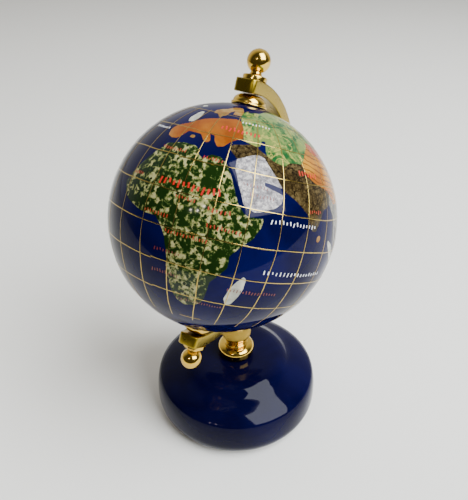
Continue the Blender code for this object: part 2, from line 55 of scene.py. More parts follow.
# the globe's own frame: its +Z is the north pole, and its +X faces the arm
spin = frame["joints"][0]
globeCentre = Vector(spin["pos_m"])
northPole = Vector(spin["axis"]).normalized()
towardsArm = Vector((0.0, 1.0, 0.0)).cross(northPole).normalized()
globeTurn = Matrix((towardsArm, northPole.cross(towardsArm), northPole)).transposed()
globeFrame = Matrix.Translation(globeCentre) @ globeTurn.to_4x4()
armLongitude = -173.8  # degrees, where the arm passes over the map
print("frame loaded:", len(frame["nodes"]), "nodes")


# shared helpers for objects and meshes

def newObject(name, data):
    made = bpy.data.objects.new(name, data)
    bpy.context.scene.collection.objects.link(made)
    return made


def addPiece(name, mesh, body, material, nodes=()):
    mesh.name = name
    mesh.materials.clear()
    mesh.materials.append(material)
    piece = newObject(name, mesh)
    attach(piece, body)
    if nodes:
        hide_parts(*nodes)


def meshFrom(form, name, sharpDegrees=None):
    mesh = bpy.data.meshes.new(name)
    form.to_mesh(mesh)
    form.free()
    mesh.shade_smooth()
    if sharpDegrees:
        mesh.set_sharp_from_angle(angle=math.radians(sharpDegrees))
    return mesh


def arc(centre, radii, startDegrees, endDegrees, steps):
    # points (radius, height) along an ellipse, both ends included
    points = []
    for step in range(steps + 1):
        angle = math.radians(startDegrees + (endDegrees - startDegrees) * step / steps)
        points.append((centre[0] + radii[0] * math.cos(angle), centre[1] + radii[1] * math.sin(angle)))
    return points


def sweep(start, leaving, arriving, end, steps):
    # a smooth curve between two ends, which leaves and arrives along the two given steps
    first = (start[0] + leaving[0], start[1] + leaving[1])
    second = (end[0] - arriving[0], end[1] - arriving[1])
    points = []
    for step in range(steps + 1):
        share = step / steps
        rest = 1.0 - share
        weights = (rest ** 3, 3.0 * rest ** 2 * share, 3.0 * rest * share ** 2, share ** 3)
        guides = list(zip(weights, (start, first, second, end)))
        points.append(tuple(sum(weight * guide[axis] for weight, guide in guides) for axis in range(2)))
    return points


def turnedForm(profile, turns):
    # a lathe: the profile is in millimetres and runs from the axis at the top to the axis below
    samePoint = 0.004    # mm, two points of the profile nearer than this are one
    onAxis = 0.001       # mm
    angles = [2.0 * math.pi * turn / turns for turn in range(turns)]
    form = bmesh.new()
    rings = []
    last = (-1.0, -1.0)
    for radius, height in profile:
        if math.dist(last, (radius, height)) < samePoint:
            continue
        last = (radius, height)
        if radius < onAxis:
            rings.append([form.verts.new((0.0, 0.0, height * mm))])
            continue
        reach = radius * mm
        rings.append([form.verts.new((reach * math.cos(angle), reach * math.sin(angle), height * mm))
                      for angle in angles])
    for upper, lower in zip(rings, rings[1:]):
        for turn in range(turns):
            after = (turn + 1) % turns
            if len(upper) == 1:
                form.faces.new((upper[0], lower[turn], lower[after]))
            elif len(lower) == 1:
                form.faces.new((upper[turn], lower[0], upper[after]))
            else:
                form.faces.new((upper[turn], lower[turn], lower[after], upper[after]))
    return form


# shared helpers for materials and node trees

def addNode(tree, kind, inputs=None, **settings):
    node = tree.nodes.new(kind)
    for setting, value in settings.items():
        setattr(node, setting, value)
    for socket, value in (inputs or {}).items():
        if isinstance(value, bpy.types.NodeSocket):
            tree.links.new(value, node.inputs[socket])
        else:
            node.inputs[socket].default_value = value
    return node


def addRamp(tree, factor, stops, colours):
    ramp = addNode(tree, "ShaderNodeValToRGB", {"Fac": factor})
    elements = ramp.color_ramp.elements
    while len(elements) < len(stops):
        elements.new(1.0)
    for element, position, colour in zip(elements, stops, colours):
        element.position = position
        element.color = (*colour, 1.0) if isinstance(colour, tuple) else (colour, colour, colour, 1.0)
    return ramp.outputs["Color"]


def mixColour(tree, factor, first, second):
    node = addNode(tree, "ShaderNodeMix", {"Factor": factor}, data_type="RGBA")
    for socket, value in ((node.inputs[6], first), (node.inputs[7], second)):
        if isinstance(value, bpy.types.NodeSocket):
            tree.links.new(value, socket)
        else:
            socket.default_value = (*value, 1.0)
    return node.outputs[2]


def addMath(tree, operation, first, second=0.0):
    return addNode(tree, "ShaderNodeMath", {0: first, 1: second}, operation=operation).outputs[0]


def blend(tree, first, second, share):
    return addMath(tree, "ADD", addMath(tree, "MULTIPLY", first, share),
                   addMath(tree, "MULTIPLY", second, 1.0 - share))


def addVector(tree, operation, first, second=(0.0, 0.0, 0.0), output="Vector"):
    return addNode(tree, "ShaderNodeVectorMath", {0: first, 1: second}, operation=operation).outputs[output]


def scaled(tree, vector, factor):
    return addNode(tree, "ShaderNodeVectorMath", {0: vector, "Scale": factor}, operation="SCALE").outputs[0]


def component(tree, vector, axis):
    return addNode(tree, "ShaderNodeSeparateXYZ", {0: vector}).outputs[axis]


def combined(tree, x=0.0, y=0.0, z=0.0):
    return addNode(tree, "ShaderNodeCombineXYZ", {0: x, 1: y, 2: z}).outputs[0]


def addNoise(tree, where, scale, detail=3.0, roughness=0.5, distortion=0.0, output="Fac"):
    # scale is in cycles per metre of the object's own coordinates
    return addNode(tree, "ShaderNodeTexNoise", {
        "Vector": where, "Scale": scale, "Detail": detail, "Roughness": roughness, "Distortion": distortion,
    }).outputs[output]


def shaken(tree, where, scale, reach):
    # the coordinates pushed about by a noise, so that what is drawn on them has no straight edges
    push = addNoise(tree, where, scale, 3.0, 0.6, output="Color")
    push = addVector(tree, "SUBTRACT", push, (0.5, 0.5, 0.5))
    return addVector(tree, "ADD", where, scaled(tree, push, reach))


def newMaterial(name, metallic=0.0, roughness=0.1):
    material = bpy.data.materials.new(name)
    material.use_nodes = True
    shader = material.node_tree.nodes["Principled BSDF"]
    shader.inputs["Metallic"].default_value = metallic
    shader.inputs["Roughness"].default_value = roughness
    where = addNode(material.node_tree, "ShaderNodeTexCoord").outputs["Object"]
    return material, material.node_tree, shader, where


def link(tree, source, shader, socket):
    tree.links.new(source, shader.inputs[socket])


def addBump(tree, height, shader, distance, strength):
    bump = addNode(tree, "ShaderNodeBump", {"Height": height, "Distance": distance, "Strength": strength})
    link(tree, bump.outputs["Normal"], shader, "Normal")


# gloss blue of the base and of the ocean

sheenStops = (0.35, 0.70)    # on a noise, where a finish is at its smoothest and at its roughest
glossBlue = {
    "baseColour": (0.0010, 0.0008, 0.013),
    "baseDepth": (0.0020, 0.0018, 0.026),
    "oceanColour": (0.0009, 0.0009, 0.021),
    "oceanDepth": (0.0020, 0.0022, 0.046),
    "cloudScale": 38.0,
    "cloudStops": (0.35, 0.68),
    "specular": 0.085,
    "roughness": (0.035, 0.065),
    "smudgeScale": 55.0,
    "rippleScale": 90.0,
    "rippleDepth": 0.02 * mm,
    "rippleStrength": 0.25,
}


def makeGlossBlue(name, deep, light):
    blue = glossBlue
    material, tree, shader, where = newMaterial(name)
    cloud = addNoise(tree, where, blue["cloudScale"], 4.0, 0.55, 0.6)
    link(tree, addRamp(tree, cloud, blue["cloudStops"], (deep, light)), shader, "Base Color")
    shader.inputs["Specular IOR Level"].default_value = blue["specular"]
    smudge = addNoise(tree, where, blue["smudgeScale"], 5.0, 0.6, 0.3)
    link(tree, addRamp(tree, smudge, sheenStops, blue["roughness"]), shader, "Roughness")
    ripple = addNoise(tree, where, blue["rippleScale"], 2.0)
    addBump(tree, ripple, shader, blue["rippleDepth"], blue["rippleStrength"])
    return material


baseBlue = makeGlossBlue("lacquered_navy", glossBlue["baseColour"], glossBlue["baseDepth"])
oceanBlue = makeGlossBlue("polished_ocean_resin", glossBlue["oceanColour"], glossBlue["oceanDepth"])


# brass

brassLook = {
    "turned": {"colour": (0.68, 0.45, 0.075), "worn": (0.56, 0.33, 0.045),
               "roughness": (0.12, 0.18), "wear": 0.6, "bump": 0.25},
    # painted shade: the arm's colours are a darkened copy of the turned brass, standing in for the dark room
    # that the bar reflects; only its rougher sheen is the satin finish
    "satin_with_painted_shade": {"colour": (0.32, 0.225, 0.020), "worn": (0.27, 0.175, 0.014),
              "roughness": (0.26, 0.32), "wear": 0.35, "bump": 0.10},
    "wire": {"colour": (0.46, 0.33, 0.080), "worn": (0.36, 0.24, 0.05),
             "roughness": (0.13, 0.17), "wear": 0.2, "bump": 0.0},
    "toneScale": 120.0,
    "wearStops": (0.38, 0.58),
    "sheenScale": 260.0,
    "turningScale": 900.0,    # rings that the lathe's tool leaves
    "turningDepth": 0.03 * mm,
    "grainScale": 900.0,
    "grainDepth": 0.02 * mm,
    "cupFoot": 38.6 * mm,     # above this height the stem is brushed
    "cupEdge": 0.2 * mm,
    "cupRoughness": 0.34,
}


def makeBrass(name, finish, centre=None, axis=None, satinCup=False):
    brass = brassLook
    material, tree, shader, where = newMaterial(name, metallic=1.0)
    tone = addNoise(tree, where, brass["toneScale"], 5.0, 0.6)
    wear = addRamp(tree, tone, brass["wearStops"], (finish["wear"], 0.0))
    link(tree, mixColour(tree, wear, finish["colour"], finish["worn"]), shader, "Base Color")
    patch = addNoise(tree, where, brass["sheenScale"], 4.0, 0.65)
    sheen = addRamp(tree, patch, sheenStops, finish["roughness"])
    if satinCup:
        # the cup over the stem's taper is brushed, and the rest of the stem is polished
        above = addNode(tree, "ShaderNodeMapRange", {
            "Value": component(tree, where, 2),
            "From Min": brass["cupFoot"], "From Max": brass["cupFoot"] + brass["cupEdge"],
        }).outputs[0]
        sheen = addMath(tree, "ADD", sheen, addMath(tree, "MULTIPLY", above, brass["cupRoughness"]))
    link(tree, sheen, shader, "Roughness")
    if axis:
        along = addVector(tree, "DOT_PRODUCT", addVector(tree, "SUBTRACT", where, centre), axis, "Value")
        rings = addNode(tree, "ShaderNodeTexNoise", {
            "W": along, "Scale": brass["turningScale"], "Detail": 2.0,
        }, noise_dimensions="1D").outputs["Fac"]
        addBump(tree, rings, shader, brass["turningDepth"], finish["bump"])
    elif finish["bump"]:
        grain = addNoise(tree, where, brass["grainScale"], 3.0, 0.7)
        addBump(tree, grain, shader, brass["grainDepth"], finish["bump"])
    return material


stemBrass = makeBrass("turned_brass_stem", brassLook["turned"], (0.0, 0.0, 0.0), (0.0, 0.0, 1.0), True)
poleBrass = makeBrass("turned_brass_poles", brassLook["turned"], tuple(globeCentre), tuple(northPole))
# the arm's brass carries painted shade in its darkened colour
armBrass = makeBrass("satin_brass_arm_painted_shade", brassLook["satin_with_painted_shade"])
wireBrass = makeBrass("inlaid_brass_wire", brassLook["wire"])
print("shared finishes ready")


# base

baseShape = {
    # places are (radius, height) in mm, and each sweep leaves and arrives along a step of that kind
    "domeEdge": (22.6, 24.6),
    "domeFullness": 8.0,
    "coveLeaves": (1.4, -1.3), "coveArrives": (1.8, -0.73),
    "ledge": (28.0, 21.9),
    "slopeLeaves": (2.2, -0.9), "slopeArrives": (1.5, -1.5),
    "shoulder": (34.1, 18.6),
    "sideLeaves": (1.1, -1.1), "sideArrives": (0.0, -5.2),
    "widestHeight": 8.0,
    "footRadius": 28.5,
    "flatRadius": 27.5,
    "domeSteps": 36, "curveSteps": 16, "sideSteps": 20,
    "turns": 160,
}


def makeBase():
    low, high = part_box("base")
    shape = baseShape
    widest = (high.y - low.y) / 2.0 / mm
    top = high.z / mm
    edgeRadius, edgeHeight = shape["domeEdge"]
    dome = []
    for step in range(shape["domeSteps"] + 1):
        share = math.sin(math.radians(90.0 * step / shape["domeSteps"]))
        rise = (top - edgeHeight) * (1.0 - share ** shape["domeFullness"])
        dome.append((edgeRadius * share, edgeHeight + rise))
    steps = shape["curveSteps"]
    cove = sweep(shape["domeEdge"], shape["coveLeaves"], shape["coveArrives"], shape["ledge"], steps)
    slope = sweep(shape["ledge"], shape["slopeLeaves"], shape["slopeArrives"], shape["shoulder"], steps)
    side = sweep(shape["shoulder"], shape["sideLeaves"], shape["sideArrives"],
                 (widest, shape["widestHeight"]), shape["sideSteps"])
    under = arc((shape["footRadius"], shape["widestHeight"]),
                (widest - shape["footRadius"], shape["widestHeight"]), 0, -90, steps)
    flat = [(shape["flatRadius"], 0.0), (0.0, 0.0)]
    form = turnedForm(dome + cove + slope + side + under + flat, shape["turns"])
    addPiece("blue_base", meshFrom(form, "base", 40.0), "stand", baseBlue, ["base"])


makeBase()
print("base turned")


# brass arm

armShape = {
    "thickness": 4.45,
    "cornerRadius": 1.6,
    "edgeRadius": 0.45,
    "overhang": 6.5,    # past each pole
    "lengthSteps": 110,
    "cornerSteps": 8,
    "edgeSteps": 4,
}
armWidth = (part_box("meridian_arm")[1].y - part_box("meridian_arm")[0].y) / mm
armOuter = (globeCentre.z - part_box("meridian_arm")[0].z) / mm
armInner = armOuter - armShape["thickness"]


def armRow(inset, radius):
    # one closed ring of points round the bar, drawn in from its outline by the inset
    half = armWidth / 2.0 - inset
    length = math.pi / 2.0 * radius + armShape["overhang"] - inset
    corner = armShape["cornerRadius"] - inset
    side = []
    for step in range(armShape["cornerSteps"] + 1):
        angle = math.radians(90.0 * step / armShape["cornerSteps"])
        side.append((-length + corner - corner * math.cos(angle), half - corner + corner * math.sin(angle)))
    first = side[-1][0]
    side += [(first - 2.0 * first * step / armShape["lengthSteps"], half)
             for step in range(1, armShape["lengthSteps"])]
    side += [(-along, across) for along, across in reversed(side[:armShape["cornerSteps"] + 1])]
    ring = side + [(along, -across) for along, across in reversed(side)]
    reach = radius * mm
    return [Vector((reach * math.cos(along / radius), across * mm, reach * math.sin(along / radius)))
            for along, across in ring]


def makeArm():
    edge = armShape["edgeRadius"]
    layers = []
    for step in range(armShape["edgeSteps"] + 1):
        angle = math.radians(90.0 * step / armShape["edgeSteps"])
        layers.append((edge - edge * math.sin(angle), armInner + edge - edge * math.cos(angle)))
    layers += [(inset, armOuter + armInner - radius) for inset, radius in reversed(layers)]
    form = bmesh.new()
    rings = []
    for inset, radius in layers:
        rings.append([form.verts.new(globeFrame @ point) for point in armRow(inset, radius)])
    count = len(rings[0])
    for inner, outer in zip(rings, rings[1:]):
        for index in range(count):
            after = (index + 1) % count
            form.faces.new((inner[index], inner[after], outer[after], outer[index]))
    for ring in (rings[0], rings[-1]):
        for index in range(count // 2 - 1):
            form.faces.new((ring[index], ring[index + 1], ring[count - 2 - index], ring[count - 1 - index]))
    bmesh.ops.recalc_face_normals(form, faces=form.faces)
    mesh = meshFrom(form, "arm", 30.0)
    addPiece("brass_meridian_arm", mesh, "stand", armBrass, ["meridian_arm"])


makeArm()
print("arm bent")


# brass stem

stemShape = {
    "flangeFoot": 7.2, "flangeRadius": 7.95, "flangeWidest": 2.9,
    "crownRadius": 4.7,
    "neckRadius": 4.3, "neckHeight": 5.6,
    "beadRadius": 5.0, "beadThickness": 1.0,
    "cupLength": 17.2, "taperHeight": 4.9,
    "taperLeaves": (-0.25, -1.4), "taperArrives": (-0.4, -1.5),
    "bellyRadius": 6.35, "flare": 3.0, "flareSteps": 14,
    "lipRadius": 7.9, "lipThickness": 1.0,
    "saddleRadius": 3.6, "saddleTop": 40.0,
    "turns": 96,
}


def stemProfile():
    s = stemShape
    neck, belly, widest = s["neckRadius"], s["bellyRadius"], s["flangeWidest"]
    cupFoot = s["neckHeight"] + s["beadThickness"]
    cupTop = cupFoot + s["cupLength"]
    bellyTop = cupFoot + s["taperHeight"]
    bead = s["beadThickness"] / 2.0
    lip = s["lipThickness"] / 2.0
    flare = []
    for step in range(s["flareSteps"] + 1):
        share = step / s["flareSteps"]
        widening = (s["lipRadius"] - lip - belly) * share ** s["flare"]
        flare.append((belly + widening, bellyTop + (cupTop - 3.0 * lip - bellyTop) * share))
    profile = [(0.0, s["saddleTop"]), (s["saddleRadius"], s["saddleTop"]), (s["saddleRadius"], cupTop)]
    profile += arc((s["lipRadius"] - lip, cupTop - lip), (lip, lip), 90, -60, 10)
    profile += flare[::-1]
    profile += sweep((belly, bellyTop), s["taperLeaves"], s["taperArrives"], (neck, cupFoot), 14)
    profile += arc((neck, s["neckHeight"] + bead), (s["beadRadius"] - neck, bead), 90, -90, 8)
    crown = (s["flangeRadius"] - s["crownRadius"], s["neckHeight"] - widest)
    profile += arc((s["crownRadius"], widest), crown, 90, 0, 20)
    profile += arc((s["flangeFoot"], widest), (s["flangeRadius"] - s["flangeFoot"], widest), 0, -90, 8)
    return profile + [(0.0, 0.0)]


def makeStem():
    form = turnedForm(stemProfile(), stemShape["turns"])
    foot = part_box("stem")[0].z
    reach = armOuter * mm
    for corner in form.verts:
        corner.co.z += foot
        # the top of the stem is a saddle, seated on the underside of the arm
        fromPole = min(abs(corner.co.x - globeCentre.x), reach)
        corner.co.z = min(corner.co.z, globeCentre.z - math.sqrt(reach**2 - fromPole**2))
    addPiece("brass_stem", meshFrom(form, "stem", 32.0), "stand", stemBrass, ["stem"])


makeStem()
print("stem turned")


# finials and polar caps

poleShape = {
    "ballRadius": 4.05, "ballHeight": 6.1, "neckRadius": 1.9,
    "collarRadius": 4.2, "collarThickness": 1.2, "collarBevel": 0.4, "collarFoot": -0.3,
    "capRadius": 6.3, "capEdge": 1.1, "capTop": 2.0, "capSeat": 40.02, "capClear": 0.25,
    "turns": 72,
}


def finialProfile():
    p = poleShape
    neckAngle = -math.degrees(math.acos(p["neckRadius"] / p["ballRadius"]))
    profile = arc((0.0, p["ballHeight"]), (p["ballRadius"], p["ballRadius"]), 90, neckAngle, 30)
    rise = profile[-1][1] - p["collarThickness"]
    profile += arc((p["neckRadius"] + rise, profile[-1][1]), (rise, rise), 180, 270, 10)
    bevel = p["collarBevel"]
    profile += arc((p["collarRadius"] - bevel, p["collarThickness"] - bevel), (bevel, bevel), 90, 0, 5)
    return profile + [(p["collarRadius"], p["collarFoot"]), (0.0, p["collarFoot"])]


def capProfile():
    p = poleShape
    seat = p["capSeat"]
    edgeHeight = seat * math.cos(math.asin(p["capRadius"] / seat))
    top = armInner - p["capClear"]
    roll = p["capEdge"] / 2.0
    rollCentre = (p["capRadius"] - roll, edgeHeight + roll)
    dome = (rollCentre[0] - p["capTop"], top - rollCentre[1] - roll)
    profile = [(0.0, top)] + arc((p["capTop"], top - dome[1]), dome, 90, 0, 14)
    profile += arc(rollCentre, (roll, roll), 60, -60, 10)
    seatStart = 90.0 - math.degrees(math.asin(rollCentre[0] / seat))
    return profile + arc((0.0, 0.0), (seat, seat), seatStart, 90.0, 6)


def makePoles():
    outside = Matrix.Translation((0.0, 0.0, (armOuter - poleShape["collarFoot"]) * mm))
    for pole, angle in (("north", 0.0), ("south", math.pi)):
        place = globeFrame @ Matrix.Rotation(angle, 4, "X")
        for part, profile, lift, body, node in (
                ("finial", finialProfile(), outside, "stand", f"{pole}_finial"),
                ("cap", capProfile(), Matrix(), "globe", f"{pole}_polar_cap")):
            form = turnedForm(profile, poleShape["turns"])
            form.transform(place @ lift)
            addPiece(f"brass_{pole}_{part}", meshFrom(form, part, 32.0), body, poleBrass, [node])


makePoles()
print("finials and caps turned")


# ocean

oceanShape = {"radius": 39.97, "around": 192, "up": 96}


def makeOcean():
    form = bmesh.new()
    bmesh.ops.create_uvsphere(form, u_segments=oceanShape["around"], v_segments=oceanShape["up"],
                              radius=oceanShape["radius"] * mm)
    form.transform(globeFrame)
    addPiece("blue_ocean", meshFrom(form, "ocean"), "globe", oceanBlue, ["ocean_sphere"])


makeOcean()
print("ocean cast")


# stones: their patterns
# a pattern's sizes are shares of the stone's own scale, and its stops say where on a noise each tone begins

patternShape = {
    "blots": (0.485, 0.502, 0.525, 0.55, 0.62), "blotDrift": 0.35,
    "spotStops": (0.12, 0.19), "spotSpread": 0.34,
    "clouds": (0.38, 0.46, 0.53), "cloudVeins": (0.475, 0.5, 0.525),
    "breccia": (0.38, 0.49, 0.60),
    "cracks": ((0.42, 0.035, 0.9), (1.1, 0.045, 0.65)),    # each net's scale, width and depth of colour
    "crystals": (0.41, 0.47, 0.52, 0.59),
    "jasper": (0.40, 0.50, 0.60), "streaks": (0.03, 0.22), "streakDepth": 0.85, "streakWaver": 7.0,
    "plain": (0.36, 0.47, 0.56, 0.66), "flecks": (0.60, 0.68),
}


def mottled(tree, where, look):
    # ragged dark blots on a pale, hazy ground, with small crisp spots between them
    scale, tones = look["scale"], look["tones"]
    drift = addNoise(tree, where, scale * 0.2, 3.0, 0.6)
    drift = addMath(tree, "MULTIPLY", addMath(tree, "SUBTRACT", drift, 0.5), patternShape["blotDrift"])
    blot = addMath(tree, "ADD", addNoise(tree, where, scale, 4.0, 0.62, 0.25), drift)
    ground = addRamp(tree, blot, patternShape["blots"], tones)
    moved = shaken(tree, where, scale * 2.2, 0.6 / scale)
    cells = addNode(tree, "ShaderNodeTexVoronoi", {"Vector": moved, "Scale": scale * 1.4}).outputs
    size = addNode(tree, "ShaderNodeSeparateColor", {"Color": cells["Color"]}).outputs["Red"]
    size = addMath(tree, "MULTIPLY", size, patternShape["spotSpread"])
    reach = addMath(tree, "SUBTRACT", cells["Distance"], size)
    return mixColour(tree, addRamp(tree, reach, patternShape["spotStops"], (1.0, 0.0)), ground, tones[0])


def cloudy(tree, where, look):
    # drifting patches with feathered edges, and thin pale veins through them
    drift = addNoise(tree, where, look["scale"], 5.0, 0.62, 0.5)
    body = addRamp(tree, drift, patternShape["clouds"], look["tones"])
    line = addNoise(tree, where, look["scale"] * 0.5, 5.0, 0.6, 0.8)
    thin = addRamp(tree, line, patternShape["cloudVeins"], (0.0, look["veins"], 0.0))
    return mixColour(tree, thin, body, look["tones"][3])


def brecciated(tree, where, look):
    # a grainy ground under two nets of fine dark cracks
    grain = addNoise(tree, where, look["scale"] * 2.2, 5.0, 0.72)
    patch = addNoise(tree, where, look["scale"] * 0.35, 3.0, 0.6)
    body = addRamp(tree, blend(tree, grain, patch, 0.6), patternShape["breccia"], look["tones"])
    for size, width, depth in patternShape["cracks"]:
        scale = look["scale"] * size
        moved = shaken(tree, where, scale * 1.7, 0.9 / scale)
        net = addNode(tree, "ShaderNodeTexVoronoi", {"Vector": moved, "Scale": scale},
                      feature="DISTANCE_TO_EDGE").outputs["Distance"]
        crack = addRamp(tree, net, (width * 0.3, width * 1.8), (depth, 0.0))
        body = mixColour(tree, crack, body, look["tones"][3])
    return body


def speckled(tree, where, look):
    # fine crystals of several pale tones
    grain = addNoise(tree, where, look["scale"], 4.0, 0.75)
    patch = addNoise(tree, where, look["scale"] * 0.22, 3.0, 0.6, 0.8)
    return addRamp(tree, blend(tree, grain, patch, 0.7), patternShape["crystals"], look["tones"])


def banded(tree, where, look):
    # fine wavy streaks over a warm ground, as in a picture jasper
    turned = addNode(tree, "ShaderNodeMapping", {"Vector": where, "Rotation": look["turn"]}).outputs[0]
    wave = addNode(tree, "ShaderNodeTexWave", {
        "Vector": turned, "Scale": look["scale"], "Distortion": patternShape["streakWaver"],
        "Detail": 3.0, "Detail Scale": 0.55,
    }).outputs["Fac"]
    drift = addNoise(tree, where, look["scale"] * 0.5, 3.0, 0.6)
    ground = addRamp(tree, drift, patternShape["jasper"], look["tones"][1:])
    streak = addRamp(tree, wave, patternShape["streaks"], (patternShape["streakDepth"], 0.0))
    return mixColour(tree, streak, ground, look["tones"][0])


def plainStone(tree, where, look):
    # one even colour that drifts slowly, with a little grain and a few small flecks
    drift = addNoise(tree, where, look["scale"], 5.0, 0.6, 0.6)
    body = addRamp(tree, drift, patternShape["plain"], look["tones"])
    fleck = addNoise(tree, where, look["scale"] * 6.0, 3.0, 0.7)
    fleck = addRamp(tree, fleck, patternShape["flecks"], (0.0, look["flecks"]))
    return mixColour(tree, fleck, body, look["tones"][0])


# stones: their looks

stonePolish = {"specular": 0.2, "roughness": (0.05, 0.12), "sheenScale": 300.0}
stoneLooks = {
    # tones run from dark to pale, and the last one of a veined or cracked stone is the vein's
    "spotted_green": {
        "pattern": mottled, "scale": 500.0,
        "tones": ((0.005, 0.016, 0.002), (0.020, 0.045, 0.007), (0.060, 0.085, 0.020),
                  (0.155, 0.160, 0.048), (0.340, 0.325, 0.135)),
    },
    "cloudy_green": {
        "pattern": cloudy, "scale": 260.0, "veins": 0.8,
        "tones": ((0.007, 0.062, 0.014), (0.038, 0.108, 0.024), (0.125, 0.178, 0.040), (0.380, 0.340, 0.070)),
    },
    "brown_breccia": {
        "pattern": brecciated, "scale": 520.0,
        "tones": ((0.015, 0.009, 0.003), (0.037, 0.024, 0.008), (0.092, 0.064, 0.024), (0.005, 0.003, 0.001)),
    },
    "lilac_speckle": {
        "pattern": speckled, "scale": 700.0,
        "tones": ((0.068, 0.058, 0.060), (0.150, 0.136, 0.145), (0.240, 0.220, 0.220), (0.500, 0.465, 0.430)),
    },
    "golden_jasper": {
        "pattern": banded, "scale": 170.0, "turn": (0.5, 0.9, 0.3),
        "tones": ((0.080, 0.018, 0.001), (0.235, 0.066, 0.001), (0.310, 0.112, 0.003), (0.385, 0.168, 0.007)),
    },
    "burnt_orange": {
        "pattern": plainStone, "scale": 75.0, "flecks": 0.45,
        "tones": ((0.150, 0.030, 0.001), (0.210, 0.052, 0.002), (0.250, 0.075, 0.004), (0.300, 0.120, 0.018)),
    },
    "warm_tan": {
        "pattern": plainStone, "scale": 150.0, "flecks": 0.5,
        "tones": ((0.120, 0.048, 0.007), (0.190, 0.086, 0.014), (0.245, 0.132, 0.028), (0.300, 0.190, 0.060)),
    },
    "pearl_white": {
        "pattern": plainStone, "scale": 260.0, "flecks": 0.2,
        "tones": ((0.260, 0.265, 0.215), (0.355, 0.360, 0.290), (0.440, 0.435, 0.350), (0.550, 0.535, 0.440)),
    },
    "rose_red": {
        "pattern": cloudy, "scale": 150.0, "veins": 0.25,
        "tones": ((0.150, 0.020, 0.007), (0.230, 0.034, 0.013), (0.280, 0.058, 0.026), (0.360, 0.165, 0.095)),
    },
    "pebble_grey": {
        "pattern": speckled, "scale": 520.0,
        "tones": ((0.040, 0.036, 0.028), (0.080, 0.074, 0.058), (0.135, 0.125, 0.100), (0.235, 0.218, 0.178)),
    },
}


def makeStoneMaterial(name):
    look = stoneLooks[name]
    material, tree, shader, where = newMaterial(name)
    link(tree, look["pattern"](tree, where, look), shader, "Base Color")
    shader.inputs["Specular IOR Level"].default_value = stonePolish["specular"]
    polish = addNoise(tree, where, stonePolish["sheenScale"], 4.0, 0.6)
    link(tree, addRamp(tree, polish, sheenStops, stonePolish["roughness"]), shader, "Roughness")
    return material


stoneMaterials = {name: makeStoneMaterial(name) for name in stoneLooks}
stoneKinds = {
    "spotted_green": ("africa", "new_guinea"),
    "cloudy_green": ("russia", "brazil", "philippines", "new_zealand"),
    "brown_breccia": ("persia_and_india", "andes"),
    "lilac_speckle": ("arabia", "united_states"),
    "golden_jasper": ("china", "mexico"),
    "burnt_orange": ("europe", "canada"),
    "warm_tan": ("scandinavia", "alaska", "sri_lanka", "borneo", "cuba", "sardinia"),
    "pearl_white": ("madagascar", "britain", "iceland", "greenland", "antarctica", "sumatra_and_java"),
    "rose_red": ("mongolia", "australia", "japan"),
    "pebble_grey": ("southeast_asia", "argentina"),
}
print("stones chosen:", sum(len(names) for names in stoneKinds.values()))


# stones: their shapes

stoneShape = {
    "surface": 40.0,        # the polished skin, mm from the globe's centre
    "depth": 0.7,           # how far each slab goes down into the blue
    "skinBand": 0.45,       # corners of the model no deeper than this lie on its polished face
    "weld": 0.005,          # corners of the model nearer than this are one
    "spacing": 0.35,        # between points of the sawn outline
    "rounding": 0.3,        # how far the saw cuts the corners
    "waver": 0.45,          # how far the outline wanders from straight lines
    "waverScale": 0.16,     # wanders per mm
    "waverSeed": 7,         # keeps the outlines the same in every run
    "jointGap": 0.15,       # the model's clearance, taken back on each side
    "facets": 1.3,          # size of the facets inside the outline
    "facetRows": 0.87,      # between rows of facets, as a share of their size
    "rimClearance": 0.55,   # between the facets' corners and the outline, as a share of their size
}
noise.seed_set(stoneShape["waverSeed"])


def onSphere(points):
    return points / np.linalg.norm(points, axis=1)[:, None]


def outlineLoop(node):
    # the rim of the stone's polished face, as unit directions from the globe's centre
    form = bmesh.new()
    form.from_mesh(node.data)
    bmesh.ops.remove_doubles(form, verts=form.verts, dist=stoneShape["weld"] * mm)
    skin = stoneShape["surface"] * mm - stoneShape["skinBand"] * mm
    outer = {v for v in form.verts if (v.co - globeCentre).length > skin}
    rim = [e for e in form.edges
           if sum(all(v in outer for v in f.verts) for f in e.link_faces) == 1]
    after = {}
    for edge in rim:
        face = next(f for f in edge.link_faces if all(v in outer for v in f.verts))
        corners = list(face.verts)
        start = corners.index(edge.verts[0])
        first, second = edge.verts
        if corners[(start + 1) % len(corners)] is not second:
            first, second = second, first
        after[first] = second
    loop = [next(iter(after))]
    while after[loop[-1]] is not loop[0]:
        loop.append(after[loop[-1]])
    directions = np.array([(globeFrame.inverted() @ v.co).normalized() for v in loop])
    form.free()
    return directions, len(rim) == len(loop)


def resampled(loop):
    spacing = stoneShape["spacing"] / stoneShape["surface"]
    points = []
    for start, end in zip(loop, np.roll(loop, -1, axis=0)):
        steps = max(1, round(float(np.linalg.norm(end - start)) / spacing))
        points += [start + (end - start) * step / steps for step in range(steps)]
    return onSphere(np.array(points))


def rounded(points):
    reach = stoneShape["rounding"] / stoneShape["spacing"]
    span = round(2.5 * reach)    # past 2.5 times the reach a neighbour has no weight
    offsets = np.arange(-span, span + 1)
    weights = np.exp(-0.5 * (offsets / reach) ** 2)
    return onSphere(sum(weight * np.roll(points, -offset, axis=0)
                        for weight, offset in zip(weights, offsets)))


def wavered(points):
    size = stoneShape["waver"] / stoneShape["surface"]
    moved = []
    for point in points:
        where = Vector(point) * stoneShape["surface"] * stoneShape["waverScale"]
        moved.append(Vector(point) + noise.noise_vector(where) * size)
    return onSphere(np.array(moved))


def grown(points):
    # outwards over the surface: the loop runs anticlockwise as seen from outside
    along = np.roll(points, -1, axis=0) - np.roll(points, 1, axis=0)
    out = onSphere(np.cross(along, points))
    return onSphere(points + out * (stoneShape["jointGap"] / stoneShape["surface"]))


